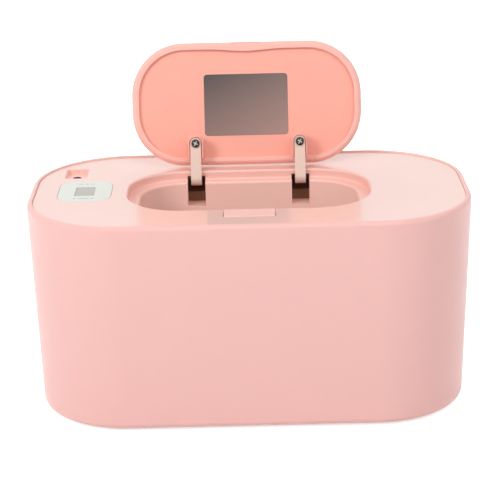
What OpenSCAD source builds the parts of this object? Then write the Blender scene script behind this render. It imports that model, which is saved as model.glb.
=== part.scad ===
// Baby wipe warmer with a lift-off heated deck and a flush, latched lid shown standing open.
// Millimetres. The origin is the centre of the footprint on the table, front towards -Y, up +Z.

/* [Body] */
// Width of the body at its top edge
body_w = 205; // [190:1:240]
// Depth of the body at its top edge
body_d = 117.3; // [110:0.1:150]
// Height of the outer shell, from its bottom edge to its raised lip
body_h = 98.4; // [90:0.1:130]
// Corner radius of the body seen from above
plan_r = 45; // [42:0.5:50]
// Thickness of the outer shell's wall
shell_wall = 2.4; // [2.2:0.1:2.8]
// Draft of the outer shell: how far each side leans in towards the bottom
draft = 2.7; // [1:0.1:4]
// Rounding of the lip's outer edge
lip_round = 2.1; // [1:0.1:2.1]
// Rounding of the bottom edge
bottom_round = 3.2; // [1.5:0.1:4]
// Height of the raised lip above the deck
lip_rise = 0.8; // [0.4:0.1:1.5]

/* [Base] */
// Thickness of the base plate
base_t = 2.4; // [2:0.1:3]
// Diameter of each rubber foot
foot_d = 12; // [8:0.5:14]
// How far the feet stand out below the shell
foot_proud = 1.2; // [1:0.1:3]
// Depth of the foot's seat in the base plate
foot_seat = 0.8; // [0.5:0.1:1.2]
// Distance of the feet from the body's sides
foot_side = 30.5; // [30:0.5:40]
// Distance of the feet from the body's front and back
foot_end = 23.65; // [22:0.05:30]
// Distance of the base screws from the body's sides
base_screw_side = 54.5; // [50:0.5:65]
// Distance of the base screws from the body's front and back
base_screw_end = 18.65; // [18:0.05:24]

/* [Tub] */
// Wall of the inner tub that holds the wipes
tub_wall = 1.8; // [1.4:0.1:2.4]
// Thickness of the flange that hangs the tub on the shell's ledge
tub_flange = 2; // [1.6:0.1:2.6]
// Rounding inside the bottom of the tub
tub_round = 6; // [4:0.5:9]

/* [Deck] */
// Thickness of the deck plate
deck_t = 2.3; // [2.1:0.1:3]
// Thickness of the deck's skirts and ribs
deck_wall = 1.8; // [1.4:0.1:2.2]
// Width of the deck on either side of the lid's recess
land_side = 46.1; // [45:0.1:50]
// Width of the deck in front of the recess
land_front = 26.55; // [26:0.05:30]
// Width of the deck behind the recess
land_back = 29.75; // [29:0.05:33]
// Width of the gap round the lid
lid_gap = 0.4; // [0.3:0.05:0.8]
// Gap behind the lid, which it needs to swing
lid_rear_gap = 1.0; // [0.9:0.05:1.6]
// Depth of the recess, from the deck to the ledge
ledge_drop = 4.3; // [4:0.1:6]
// Width of the ledge in front and behind
ledge_y = 4.2; // [3.5:0.1:6]
// Width of the ledge at the two round ends
ledge_x = 5.4; // [4:0.1:8]
// Depth of the throat that the wipes come up through
throat_depth = 23.3; // [23:0.1:28]

/* [Lid] */
// Corner radius of the lid
lid_r = 25.7; // [20:0.1:27]
// Thickness of the lid at its rim
lid_t = 3.7; // [3.4:0.1:3.8]
// Thickness of the lid cover's top
lid_skin = 1.3; // [1:0.1:1.5]
// Width of the lid's rim
lid_rim = 3.6; // [1.8:0.1:4]
// Thickness of the liner inside the lid
liner_t = 0.8; // [0.6:0.1:1]
// Rounding of the lid's top edge
lid_edge = 0.8; // [0.4:0.1:1]
// How far the open lid leans back past upright
lid_lean = 15; // [5:1:18]

/* [Hinge] */
// Distance of each hinge arm from the middle
arm_x = 25.25; // [20:0.25:28]
// Width of a hinge arm
arm_w = 5.2; // [4.5:0.1:5.6]
// Thickness of a hinge arm
arm_t = 1.6; // [1.2:0.1:1.8]
// Distance of the arm's flat bar below the hinge pin, with the lid closed
arm_drop = 6.2; // [5.8:0.1:6.6]
// Distance of the arm's screw from the lid's rear edge
arm_screw_in = 10.8; // [9:0.1:14]
// Diameter of the hinge pin
pin_d = 2; // [1.6:0.1:2.2]
// Depth of the hinge pin below the deck
pin_down = 3.8; // [3.8:0.1:4.2]
// Distance of the hinge pin behind the recess's rear wall
pin_back = 4.3; // [4.2:0.1:5]
// Width of the slot that an arm swings in
slot_w = 8.6; // [8:0.1:10]
// Depth of the slot's floor below the deck
slot_down = 16.3; // [15:0.1:17]

/* [Latch] */
// Width of the latch button
button_w = 23.2; // [20:0.2:26]
// Depth of the latch button, front to back
button_d = 11; // [10:0.1:12]
// Thickness of the button's cap
button_t = 0.9; // [0.8:0.1:1]
// Travel of the button when pressed
button_travel = 0.8; // [0.6:0.1:0.8]
// Travel of the latch slider for each millimetre of the button's
wedge_ratio = 1.5; // [1.4:0.1:1.6]
// Width of the latch tongue
tongue_w = 12; // [8:0.5:16]

/* [Control panel] */
// Width of the control panel
panel_w = 25; // [24:0.5:28]
// Depth of the control panel, front to back
panel_d = 31.6; // [30:0.2:36]
// Corner radius of the control panel
panel_r = 8; // [5:0.5:11]
// Distance of the panel's centre from the body's side
panel_side = 25.7; // [24.5:0.1:28]
// Distance of the panel's centre behind the middle
panel_y = 0.2; // [-2:0.1:3]
// Thickness of the control panel
panel_t = 1; // [0.8:0.1:1.2]
// Width of the display window
window_w = 9.2; // [8:0.2:11]
// Depth of the display window, front to back
window_d = 13.6; // [12:0.2:16]
// Distance of the display window in front of the panel's centre
window_fore = 0.6; // [0:0.1:2]

/* [Power inlet] */
// Width of the pocket round the power jack
pocket_w = 10.2; // [9:0.1:11]
// Depth of the pocket, front to back
pocket_d = 15.1; // [13:0.1:16]
// Depth of the pocket below the deck
pocket_down = 1.4; // [0.8:0.1:1.5]
// Distance of the pocket's centre from the body's side
pocket_side = 19.3; // [18.5:0.1:20]
// Distance of the pocket's centre from the body's back
pocket_end = 29.25; // [28.5:0.05:30]
// Diameter of the jack's mouth
jack_d = 4.2; // [3.6:0.1:5]

/* [Heater] */
// Thickness of the undertray below the electronics
tray_t = 1.6; // [1.2:0.1:2]
// Thickness of the aluminium heating plate
plate_t = 1; // [0.8:0.1:1.2]
// Thickness of the heating film
film_t = 0.3; // [0.2:0.1:0.4]
// How far the heating plate stays in from the body's outline
plate_inset = 18; // [16:0.5:20]

/* [Hidden] */
$fn = 64;

pink = [0.96, 0.76, 0.74];
salmon = [1.0, 0.70, 0.64];
cream = [0.94, 0.87, 0.80];
steel = [0.72, 0.73, 0.75];

clear = 0.3;        // gap between pieces that don't touch
snug = 0.1;         // gap between a piece and the seat it drops into
eps = 0.01;         // overreach of a cut
seam = 0.2;         // gap between the deck and the shell's lip

// Screws: diameter of the shank, its length, diameter of the head, its height
base_screw = [2.9, 5.6, 5.8, 1.9];
deck_screw = [2.5, 9, 5, 1.6];
board_screw = [2, 6, 3.8, 1.2];
arm_screw = [2.4, 6.2, 4.2, 1.4];
hole_play = 0.4;    // how much wider a screw's through hole is than its shank

// Heights
shell_top = foot_proud + body_h;
deck_z = shell_top - lip_rise;
deck_under = deck_z - deck_t;
ledge_z = deck_z - ledge_drop;
seat_z = deck_under - tub_flange;
base_top = foot_proud + base_t;
deck_inset = shell_wall + seam;

// Recess and throat
recess_w = body_w - 2*land_side;
recess_front = land_front - body_d/2;
recess_back = body_d/2 - land_back;
recess_d = recess_back - recess_front;
recess_mid = (recess_back + recess_front)/2;
recess_r = lid_r + lid_gap;
throat_w = recess_w - 2*ledge_x;
throat_d = recess_d - 2*ledge_y;
throat_r = recess_r - (ledge_x + ledge_y)/2;
throat_back = recess_mid + throat_d/2;

// Lid when closed: its top lies just below the deck
lid_w = recess_w - 2*lid_gap;
lid_d = recess_d - lid_gap - lid_rear_gap;
lid_top = deck_z - clear;
lid_back = recess_back - lid_rear_gap;
lid_front = lid_back - lid_d;
lid_mid = (lid_back + lid_front)/2;
liner_under = lid_top - lid_skin - liner_t;

// Hinge
pin_y = recess_back + pin_back;
pin_z = deck_z - pin_down;
open_angle = 90 + lid_lean;
bar_z = pin_z - arm_drop;
bend_r = arm_drop/2;
bend_y = pin_y + 0.5;
eye_r = pin_down - 1.8;
running = 0.05;
screw_y = lid_back - arm_screw_in;
arm_screw_spots = [[-arm_x, screw_y], [arm_x, screw_y]];
sweep_r = norm([bend_y - pin_y, bend_r]) + bend_r + arm_t/2 + 2*clear;
housing_wall = 3.2;
pin_hold = 2.5;     // how far each end of a hinge pin reaches into its housing

// Latch
button_front = recess_front - 0.2 - button_d;
slider_top = deck_z - button_t - button_travel - clear;
tongue_t = 1;
slider_travel = button_travel*wedge_ratio;
tongue_tip = lid_front + slider_travel - 0.2;
bay_w = button_w + 2.4;
bay_wall = 1.2;
bay_front = button_front - 3;
bay_back = recess_front - deck_wall - clear;
bay_down = 8.7;
bay_low = deck_z - bay_down;
spring_y = button_front + button_d/2;
spring_d = 3.4;
slider_front = button_front - 1.3;
cheek_top = slider_top - 1.4;
cheek_out = button_w/2 - 0.3;
leg_in = button_w/2 - 3.2;
leg_t = 1.5;
cam_y = button_front + 1.8;
cam_half = 0.8;
cam_gap = 0.45;
cam_low = cheek_top - 2.4;

// Underside of the deck
tray_top = deck_z - throat_depth + 1 + tray_t;
tray_inset = 9;
plate_z = tray_top;
film_z = plate_z + plate_t;
board_z = deck_z - 12;
board_t = 1.6;
board_w = panel_w - 2;
board_d = panel_d - 1.6;
window_y = panel_y - window_fore;
panel_x = body_w/2 - panel_side;
pocket_x = body_w/2 - pocket_side;
pocket_y = body_d/2 - pocket_end;
jack_w = 8;
jack_l = 10;
jack_h = 9;
jack_pin = 2;
jack_low = deck_z - deck_t - jack_h - jack_pin;
lead_d = 1.2;
jack_z = deck_under;

// Where screws and feet are set out
foot_x = body_w/2 - foot_side;
foot_y = body_d/2 - foot_end;
base_screw_x = body_w/2 - base_screw_side;
base_screw_y = body_d/2 - base_screw_end;
corner_x = body_w/2 - plan_r;
corner_y = body_d/2 - plan_r;
boss_in = 14;
boss_d = 6;
front_boss_x = button_w + 2.8;
boss_ring = plan_r - boss_in;
deck_screw_spots = concat(
  [for (sx = [-1, 1], sy = [-1, 1]) [sx*(corner_x + boss_ring*cos(60)), sy*(corner_y + boss_ring*sin(60))]],
  [[0, body_d/2 - boss_in], [-front_boss_x, boss_in - body_d/2], [front_boss_x, boss_in - body_d/2]]);
retainer_spots = [for (s = [-1, 1]) [s*(bay_w/2 + 4), spring_y]];
board_spots = [for (sx = [-1, 1], sy = [-1, 1])
  [-panel_x + sx*(board_w/2 - 3), panel_y + sy*(board_d/2 - 3)]];

// Points of an arc in the plane of [inset, height]
function arc(cx, cz, r, a0, a1, n = 6) =
  [for (i = [0:n]) let (a = a0 + (a1 - a0)*i/n) [cx + r*cos(a), cz + r*sin(a)]];

// Rounded rectangle seen from above
module plan(w, d, r) {
  square([w, d - 2*r], center = true);
  square([w - 2*r, d], center = true);
  for (sx = [-1, 1], sy = [-1, 1]) translate([sx*(w/2 - r), sy*(d/2 - r)]) circle(r);
}

// Solid with a rounded-rectangle plan whose side follows points [inset, z] from bottom to top
module loaf(w, d, r, side) {
  low = side[0][1];
  high = side[len(side) - 1][1];
  half = concat([[0, low]], [for (p = side) [r - p[0], p[1]]], [[0, high]]);
  for (q = [[1, 1, 0], [-1, 1, 90], [-1, -1, 180], [1, -1, 270]])
    translate([q[0]*(w/2 - r), q[1]*(d/2 - r), 0]) rotate([0, 0, q[2]])
      rotate_extrude(angle = 90) polygon(half);
  for (a = [0, 180]) rotate([0, 0, a]) {
    translate([w/2 - r, d/2 - r, 0]) rotate([90, 0, 0]) linear_extrude(height = d - 2*r) polygon(half);
    translate([r - w/2, d/2 - r, 0]) rotate([90, 0, 90]) linear_extrude(height = w - 2*r) polygon(half);
  }
  translate([r - w/2, r - d/2, low]) cube([w - 2*r, d - 2*r, high - low]);
}

// Loaf on the body's own outline
module body_loaf(side) loaf(body_w, body_d, plan_r, side);

// Loaf centred on the lid's recess
module recess_loaf(w, d, r, side) translate([0, recess_mid, 0]) loaf(w, d, r, side);

// Whatever is drawn, at four places set out round the middle
module four(x, y) for (sx = [-1, 1], sy = [-1, 1]) translate([sx*x, sy*y, 0]) children();

// Whatever is drawn, at each of the given places
module at(spots) for (spot = spots) translate([spot[0], spot[1], 0]) children();

// Box given by its corners
module block(a, b) translate(a) cube(b - a);

// Bar with round ends, from one point to another, seen from above
module pill(a, b, r, h) {
  for (p = [a, b]) translate(p) cylinder(r = r, h = h);
  translate(a) rotate([0, 0, atan2(b[1] - a[1], b[0] - a[0])]) translate([0, -r, 0])
    cube([norm([b[0] - a[0], b[1] - a[1]]), 2*r, h]);
}

// Pan-head screw, shank upwards, its head below the given height
module screw(size, z) translate([0, 0, z]) {
  head_d = size[2];
  head_h = size[3];
  slot = head_d/8;
  cylinder(d = size[0], h = size[1]);
  difference() {
    translate([0, 0, -head_h]) cylinder(d1 = 0.85*head_d, d2 = head_d, h = head_h);
    for (a = [0, 90]) rotate([0, 0, a])
      translate([-head_d/3, -slot/2, -head_h - eps]) cube([2*head_d/3, slot, head_h/2]);
  }
}

// Through hole for a screw's shank
module screw_hole(size, z, h) translate([0, 0, z - eps]) cylinder(d = size[0] + hole_play, h = h + 2*eps);

// Pilot hole that a screw cuts its thread in, deep enough for its tip
module pilot(size, z) translate([0, 0, z - eps]) cylinder(d = size[0] + snug, h = size[1] + 0.4);

// Insulated lead along a hand-chosen route
module lead(route, d) {
  for (i = [0:len(route) - 2]) {
    step = route[i + 1] - route[i];
    translate(route[i]) rotate([0, acos(step[2]/norm(step)), atan2(step[1], step[0])])
      cylinder(d = d, h = norm(step), $fn = 16);
    if (i > 0) translate(route[i]) sphere(d = 1.25*d, $fn = 16);
  }
}

// Turns what is drawn with the lid closed to where the lid stands open
module lid_open() translate([0, pin_y, pin_z]) rotate([-open_angle, 0, 0])
  translate([0, -pin_y, -pin_z]) children();

module outer_shell() color(pink) difference() {
  body_loaf(concat(arc(draft + bottom_round, foot_proud + bottom_round, bottom_round, 270, 180),
                   arc(lip_round, shell_top - lip_round, lip_round, 180, 90)));
  body_loaf([[draft + bottom_round + 2.2, foot_proud - 1], [draft + bottom_round + 2.2, base_top],
             [draft + bottom_round + 4.4, base_top], [draft + bottom_round + 4.4, base_top + 2],
             [draft + shell_wall, base_top + 2], [shell_wall + draft*0.08, seat_z - 6],
             [shell_wall + 3.2, seat_z - 2], [shell_wall + 3.2, seat_z],
             [shell_wall, seat_z], [shell_wall, shell_top + 1]]);
}

tub_low = base_top + 4.8;
cup_h = 1.6;
module inner_tub() color([0.95, 0.95, 0.94]) {
  outer_low = draft + shell_wall + 4.4;
  outer_high = shell_wall + 3.5;
  difference() {
    union() {
      body_loaf(concat(arc(outer_low + tub_round, tub_low + tub_round, tub_round, 270, 180),
                       [[outer_high, seat_z], [deck_inset, seat_z], [deck_inset, seat_z + tub_flange]]));
      four(base_screw_x, base_screw_y) translate([0, 0, base_top + cup_h])
        cylinder(d = base_screw[0] + 5.1, h = tub_low + tub_wall - base_top - cup_h);
    }
    body_loaf(concat(arc(outer_low + tub_wall + tub_round, tub_low + tub_wall + tub_round,
                         tub_round, 270, 180),
                     [[outer_high + tub_wall, seat_z], [outer_high + tub_wall, seat_z + tub_flange + 1]]));
    four(base_screw_x, base_screw_y) pilot(base_screw, base_top);
  }
}

module base_plate() color([0.93, 0.72, 0.70]) {
  edge = draft + bottom_round + 2.2 + clear;
  difference() {
    union() {
      body_loaf([[edge, foot_proud], [edge, base_top]]);
      four(base_screw_x, base_screw_y) translate([0, 0, foot_proud])
        cylinder(d = base_screw[2] + 4.2, h = base_t + cup_h);
    }
    four(base_screw_x, base_screw_y) {
      translate([0, 0, foot_proud - 1]) cylinder(d = base_screw[2] + 1, h = base_t + 1);
      screw_hole(base_screw, base_top, cup_h);
    }
    four(foot_x, foot_y) translate([0, 0, foot_proud - 1]) cylinder(d = foot_d + 2*snug, h = foot_seat + 1);
    // Grooves that stiffen the plate
    for (i = [-3:3]) translate([0, i*body_d/17, foot_proud - eps]) linear_extrude(height = base_t/2.4)
      plan(body_w/4.5, 2.4, 1.19);
  }
}

module base_screws() color(steel) four(base_screw_x, base_screw_y) screw(base_screw, base_top);

module rubber_feet() color([0.35, 0.33, 0.33]) four(foot_x, foot_y)
    rotate_extrude() polygon(concat([[0, 0]], arc(foot_d/2 - 0.6, 0.6, 0.6, 270, 360, 4),
                                    [[foot_d/2, foot_proud + foot_seat], [0, foot_proud + foot_seat]]));

// Housing behind each slot that carries the hinge pin
module hinge_housing() {
  half = slot_w/2 + housing_wall;
  block([-half, throat_back, deck_z - slot_down - 1.5],
        [half, pin_y + sweep_r + deck_wall, deck_under + eps]);
}

// Slot through wall and ledge, and the space that the arm's gooseneck sweeps
module hinge_slot() {
  half = slot_w/2;
  block([-half, throat_back - 6, deck_z - slot_down], [half, pin_y, deck_under]);
  intersection() {
    translate([-half, pin_y, pin_z]) rotate([0, 90, 0]) cylinder(r = sweep_r, h = slot_w);
    block([-half - 1, recess_back + 1.4, deck_z - slot_down], [half + 1, pin_y + sweep_r + 1, deck_z - 1.5]);
  }
  translate([-half - pin_hold - snug, pin_y, pin_z]) rotate([0, 90, 0])
    cylinder(d = pin_d + 0.04, h = slot_w + pin_hold + 2*housing_wall);
}

// Screw boss hanging from the deck
module deck_boss(d, low) translate([0, 0, low]) cylinder(d = d, h = deck_under - low + eps);

module latch_bay_outside() {
  half = bay_w/2 + bay_wall;
  block([-half, bay_front - bay_wall, bay_low], [half, recess_front - 1, deck_under + eps]);
}

module latch_bay_inside() {
  block([-bay_w/2, bay_front, bay_low - 1], [bay_w/2, bay_back, slider_top + clear]);
  block([-button_w/2 - clear, button_front - clear, slider_top],
        [button_w/2 + clear, recess_front + 1, deck_z + 1]);
  block([-tongue_w/2 - clear, recess_front - deck_wall - 1, slider_top - tongue_t - clear],
        [tongue_w/2 + clear, recess_front + 1, slider_top + clear]);
}

module top_deck() color(pink) difference() {
  union() {
    body_loaf([[deck_inset, deck_under], [deck_inset, deck_z - 0.4], [deck_inset + 0.4, deck_z]]);
    recess_loaf(recess_w + 2*deck_wall, recess_d + 2*deck_wall, recess_r + deck_wall,
                [[0, ledge_z - deck_wall], [0, deck_under + eps]]);
    recess_loaf(throat_w + 2*deck_wall, throat_d + 2*deck_wall, throat_r + deck_wall,
                [[0, deck_z - throat_depth], [0, ledge_z]]);
    for (s = [-1, 1]) translate([s*arm_x, 0, 0]) hinge_housing();
    at(deck_screw_spots) deck_boss(boss_d, tray_top);
    at(board_spots) deck_boss(boss_d - 1, board_z + board_t);
    at(retainer_spots) deck_boss(boss_d - 1, bay_low);
    latch_bay_outside();
  }
  // Recess with its rounded upper edge and its ledge, then the throat
  recess_loaf(recess_w, recess_d, recess_r,
              concat(arc(0.8, ledge_z + 0.8, 0.8, 270, 180, 4), arc(-0.8, deck_z - 0.8, 0.8, 0, 90, 4),
                     [[-0.8, deck_z + 1]]));
  recess_loaf(throat_w, throat_d, throat_r,
              concat([[0, deck_z - throat_depth - 1]], arc(-1.2, ledge_z - 1.2, 1.2, 0, 90, 5),
                     [[-1.2, ledge_z + 0.4]]));
  for (s = [-1, 1]) translate([s*arm_x, 0, 0]) hinge_slot();
  // Pocket and mouth of the power jack
  translate([-pocket_x, pocket_y, deck_z - pocket_down]) linear_extrude(height = pocket_down + 1)
    plan(pocket_w, pocket_d, 1.2);
  translate([-pocket_x, pocket_y, jack_z - 1]) cylinder(d = jack_d, h = 4);
  // Seat of the control panel, and the hole for the display below it
  translate([-panel_x, panel_y, deck_z - panel_t]) linear_extrude(height = panel_t + 1)
    plan(panel_w + 2*snug, panel_d + 2*snug, panel_r + snug);
  translate([-panel_x, window_y, deck_under - 1]) linear_extrude(height = deck_t + 1)
    square([window_w + 2, window_d + 2], center = true);
  latch_bay_inside();
  at(deck_screw_spots) pilot(deck_screw, tray_top - tray_t);
  at(board_spots) pilot(board_screw, board_z);
  at(retainer_spots) pilot(board_screw, bay_low - retainer_t);
}

module deck_undertray() color([0.92, 0.92, 0.90]) difference() {
  union() {
    difference() {
      body_loaf([[tray_inset + 1, tray_top - tray_t], [tray_inset, tray_top - tray_t + 1],
                 [tray_inset, deck_under]]);
      body_loaf([[tray_inset + 1.6, tray_top], [tray_inset + 1.6, deck_under + 1]]);
    }
    at(deck_screw_spots) translate([0, 0, tray_top - tray_t]) cylinder(d = boss_d + 1, h = tray_t);
  }
  gap = deck_wall + clear;
  recess_loaf(throat_w + 2*gap, throat_d + 2*gap, throat_r + gap,
              [[0, tray_top - tray_t - 1], [0, tray_top + 1]]);
  at(deck_screw_spots) screw_hole(deck_screw, tray_top - tray_t, tray_t);
  // Relief round the power jack
  block([-pocket_x - jack_w, pocket_y - jack_l/2 - 2, jack_low - 2],
        [-pocket_x + jack_w/2 + 2, pocket_y + jack_l/2 + 2, deck_under + 1]);
}

// Outline that the heating plate and film share, round the throat and the hinge housings
module heater_plan(inset, gap) difference() {
  plan(body_w - 2*inset, body_d - 2*inset, plan_r - inset);
  translate([0, recess_mid])
    plan(throat_w + 2*(deck_wall + gap), throat_d + 2*(deck_wall + gap), throat_r + deck_wall + gap);
}

module heating_plate() color([0.80, 0.81, 0.83])
  translate([0, 0, plate_z]) linear_extrude(height = plate_t) heater_plan(plate_inset, 1);

module heating_film() color([0.85, 0.50, 0.15])
  translate([0, 0, film_z]) linear_extrude(height = film_t) heater_plan(plate_inset + 1.5, 2.5);

fuse_l = 12;
fuse_d = 3.6;
fuse_y = body_d/2 - plate_inset - 5.5;
fuse_z = film_z + film_t + fuse_d/2 + snug;
module thermal_fuse() color([0.85, 0.85, 0.82]) translate([-fuse_l, -fuse_y, fuse_z]) rotate([0, 90, 0]) {
  cylinder(d = fuse_d, h = fuse_l);
  translate([0, 0, -fuse_l/3]) cylinder(d = 1, h = fuse_l*5/3);
}

sensor_x = land_side - body_w/2 - 1.6;
sensor_d = 5;
sensor_y = 1.6*sensor_d - fuse_y;
sensor_h = 3;
sensor_z = film_z + film_t + snug;
module temperature_sensor() color([0.15, 0.15, 0.17]) translate([sensor_x, sensor_y, sensor_z]) {
  cylinder(d = sensor_d, h = 0.4*sensor_h);
  cylinder(d = 0.6*sensor_d, h = sensor_h);
}

// Width, depth and height of the parts below the board
chip = [7, 7, 1.5];
relay = [6, 9, 4];
terminal = [10, 5.5, 4.5];
module below_board(x, y, size) block([x, y, board_z - size[2]], [x + size[0], y + size[1], board_z + eps]);
module control_board() color([0.10, 0.42, 0.25]) {
  difference() {
    translate([-panel_x, panel_y, board_z]) linear_extrude(height = board_t) plan(board_w, board_d, 1.5);
    at(board_spots) screw_hole(board_screw, board_z, board_t);
  }
  below_board(-panel_x - chip[0], panel_y - chip[1]/2, chip);
  below_board(-panel_x + relay[0]/2, panel_y - relay[1]*2/3, relay);
  below_board(-panel_x - terminal[0]/2, terminal_y - terminal[1], terminal);
}

module display_module() color([0.20, 0.20, 0.22])
  block([-panel_x - window_w/2 - 0.5, window_y - window_d/2 - 0.5, board_z + board_t],
        [-panel_x + window_w/2 + 0.5, window_y + window_d/2 + 0.5, deck_z - panel_t - 0.1]);

module control_panel() color([0.92, 0.94, 0.93])
  translate([-panel_x, panel_y, deck_z - panel_t]) difference() {
    linear_extrude(height = panel_t) plan(panel_w, panel_d, panel_r);
    translate([0, -window_fore, -1]) linear_extrude(height = panel_t + 2)
      square([window_w, window_d], center = true);
  }

module display_window() color([0.70, 0.69, 0.68])
  translate([-panel_x, window_y, deck_z - panel_t]) linear_extrude(height = panel_t)
    square([window_w - 0.1, window_d - 0.1], center = true);

module power_jack() color([0.14, 0.14, 0.15]) translate([-pocket_x, pocket_y, 0]) {
  difference() {
    translate([0, 0, jack_z - jack_h]) linear_extrude(height = jack_h) plan(jack_w, jack_l, 0.8);
    translate([0, 0, jack_z - jack_h + 1]) cylinder(d = jack_d, h = jack_h);
  }
  translate([0, 0, jack_z - jack_h + 1 - eps]) cylinder(d = 1.3, h = jack_h - 2, $fn = 24);
  for (s = [-1, 1]) translate([s*jack_w/3, 0, jack_low]) cylinder(d = 1, h = jack_pin + eps, $fn = 24);
}

// Wires from the board to the fuse and the sensor, and from the jack to the board
terminal_y = panel_y + 2.1*terminal[1];
solder_y = panel_y - board_d/2 + 1.4*lead_d;
heater_routes = [
  [[-panel_x + 1.5*lead_d, solder_y, board_z], [-panel_x + 1.5*lead_d, solder_y, board_z - 1.7*lead_d],
   [sensor_x - 1.7*lead_d, -fuse_y - 0.8*lead_d, fuse_z],
   [-2*fuse_l, -fuse_y, fuse_z], [-fuse_l*4/3, -fuse_y, fuse_z]],
  [[-panel_x + 3.6*lead_d, solder_y, board_z], [-panel_x + 3.6*lead_d, solder_y, board_z - 1.7*lead_d],
   [sensor_x, sensor_y, sensor_z + sensor_h + 2*lead_d], [sensor_x, sensor_y, sensor_z + sensor_h]]];
power_routes = [for (s = [-1, 1])
  [[-pocket_x + s*jack_w/3, pocket_y, jack_low], [-pocket_x + s*jack_w/3, pocket_y, jack_low - lead_d],
   [-panel_x + s*1.3*lead_d, terminal_y + 1.7*lead_d, board_z - terminal[2]/2],
   [-panel_x + s*1.3*lead_d, terminal_y, board_z - terminal[2]/2]]];
module heater_leads() color([0.90, 0.90, 0.88]) for (route = heater_routes) lead(route, lead_d);
module power_leads() color([0.75, 0.12, 0.12]) for (route = power_routes) lead(route, lead_d);

module hinge_pin(s) color(steel)
  translate([s*arm_x - slot_w/2 - pin_hold, pin_y, pin_z]) rotate([0, 90, 0])
    cylinder(d = pin_d, h = slot_w + 2*pin_hold);
module hinge_pin_left() hinge_pin(-1);
module hinge_pin_right() hinge_pin(1);

// Torsion spring beside each arm, its tail braced on the housing's back
module lid_spring(s) color(steel) {
  side = s*(arm_w/2 + (slot_w - arm_w)/4);
  width = (slot_w - arm_w)/2 - 2*clear - 0.1;
  translate([s*arm_x + side - width/2, pin_y, pin_z]) rotate([0, 90, 0]) difference() {
    cylinder(r = eye_r - snug, h = width);
    translate([0, 0, -1]) cylinder(d = pin_d + 0.3, h = width + 2);
  }
  translate([s*arm_x + side, pin_y + eye_r - 0.4, pin_z - sweep_r + 0.4])
    cylinder(d = 0.6, h = sweep_r - 0.2, $fn = 16);
}
module lid_spring_left() lid_spring(-1);
module lid_spring_right() lid_spring(1);

module deck_screws() color(steel) at(deck_screw_spots) screw(deck_screw, tray_top - tray_t);

module board_screws() color(steel) at(board_spots) screw(board_screw, board_z);

retainer_t = 1.4;
module latch_retainer() color([0.93, 0.90, 0.88]) {
  difference() {
    half = bay_w/2 + 6.5;
    block([-half, bay_front - bay_wall, bay_low - retainer_t], [half, bay_back - 0.2, bay_low]);
    at(retainer_spots) screw_hole(board_screw, bay_low - retainer_t, retainer_t);
  }
  translate([0, spring_y, bay_low - eps]) cylinder(d = spring_d - 1.4, h = 1.5);
}

module retainer_screws() color(steel) at(retainer_spots) screw(board_screw, bay_low - retainer_t);

// Compression spring between the retainer and the button's cap
module latch_spring() color(steel) translate([0, spring_y, bay_low]) difference() {
  cylinder(d = spring_d, h = bay_down - button_t);
  translate([0, 0, -1]) cylinder(d = spring_d - 1, h = bay_down + 1);
}

// Middle line of the slanted cam that turns the button's travel into the slider's
function cam(z) = cam_y - wedge_ratio*(z - cheek_top);

// Profile in the plane of [y, z], drawn out sideways on both sides of the middle
module both_sides(from, to) for (s = [0, 1]) mirror([s, 0, 0])
  translate([from, 0, 0]) rotate([90, 0, 90]) linear_extrude(height = to - from) children();

module latch_button() color(pink) {
  translate([0, button_front + button_d/2, deck_z - button_t]) linear_extrude(height = button_t)
    plan(button_w, button_d, 0.8);
  both_sides(leg_in, leg_in + leg_t) polygon([
    [cam_y - cam_half, deck_z - button_t + eps], [cam_y - cam_half, cheek_top],
    [cam(cam_low) - cam_half, cam_low], [cam(cam_low) + cam_half, cam_low],
    [cam_y + cam_half, cheek_top], [cam_y + cam_half, deck_z - button_t + eps]]);
}

module latch_slider() color(cream) {
  low = bay_low + clear;
  groove_low = cam_low - button_travel - clear;
  groove_turn = cheek_top - button_travel;
  wide = cam_half + cam_gap;
  difference() {
    union() {
      block([-tongue_w/2, slider_front, slider_top - tongue_t], [tongue_w/2, tongue_tip, slider_top]);
      block([-tongue_w/2, slider_front, low], [tongue_w/2, slider_front + 2.7, slider_top]);
      block([-cheek_out, slider_front, low], [cheek_out, slider_front + 2.7, cheek_top]);
      both_sides(leg_in, cheek_out) translate([slider_front, low])
        square([bay_back - clear - slider_front, cheek_top - low]);
    }
    // Slanted grooves that the button's legs run in
    both_sides(leg_in - 1, leg_in + leg_t + clear) polygon([
      [cam_y - wide, cheek_top + eps], [cam_y - wide, cheek_top], [cam(groove_low) - wide, groove_low],
      [cam(groove_low) + wide, groove_low], [cam(groove_turn) + wide, groove_turn],
      [cam(groove_turn) + wide, cheek_top + eps]]);
    // Slot that the spring stands in
    block([-spring_d/2 - clear, spring_y - spring_d/2 - clear, slider_top - tongue_t - 1],
          [spring_d/2 + clear, spring_y + spring_d/2 + clear + slider_travel, slider_top + 1]);
  }
}

module lid_cover() color(pink) lid_open() difference() {
  translate([0, lid_mid, 0]) loaf(lid_w, lid_d, lid_r,
    concat(arc(1.5, lid_top - lid_t + 1, 1, 270, 180, 5),
           arc(lid_edge, lid_top - lid_edge, lid_edge, 180, 90, 5)));
  difference() {
    translate([0, lid_mid, 0]) loaf(lid_w - 2*lid_rim, lid_d - 2*lid_rim, lid_r - lid_rim,
      [[0, lid_top - lid_t - 1], [0, lid_top - lid_skin]]);
    lid_catch_bulge();
  }
  // Notch that the latch tongue snaps into
  block([-tongue_w/2 - 1, lid_front - 1, slider_top - tongue_t - clear],
        [tongue_w/2 + 1, tongue_tip + 0.5, slider_top + clear]);
}

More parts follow.
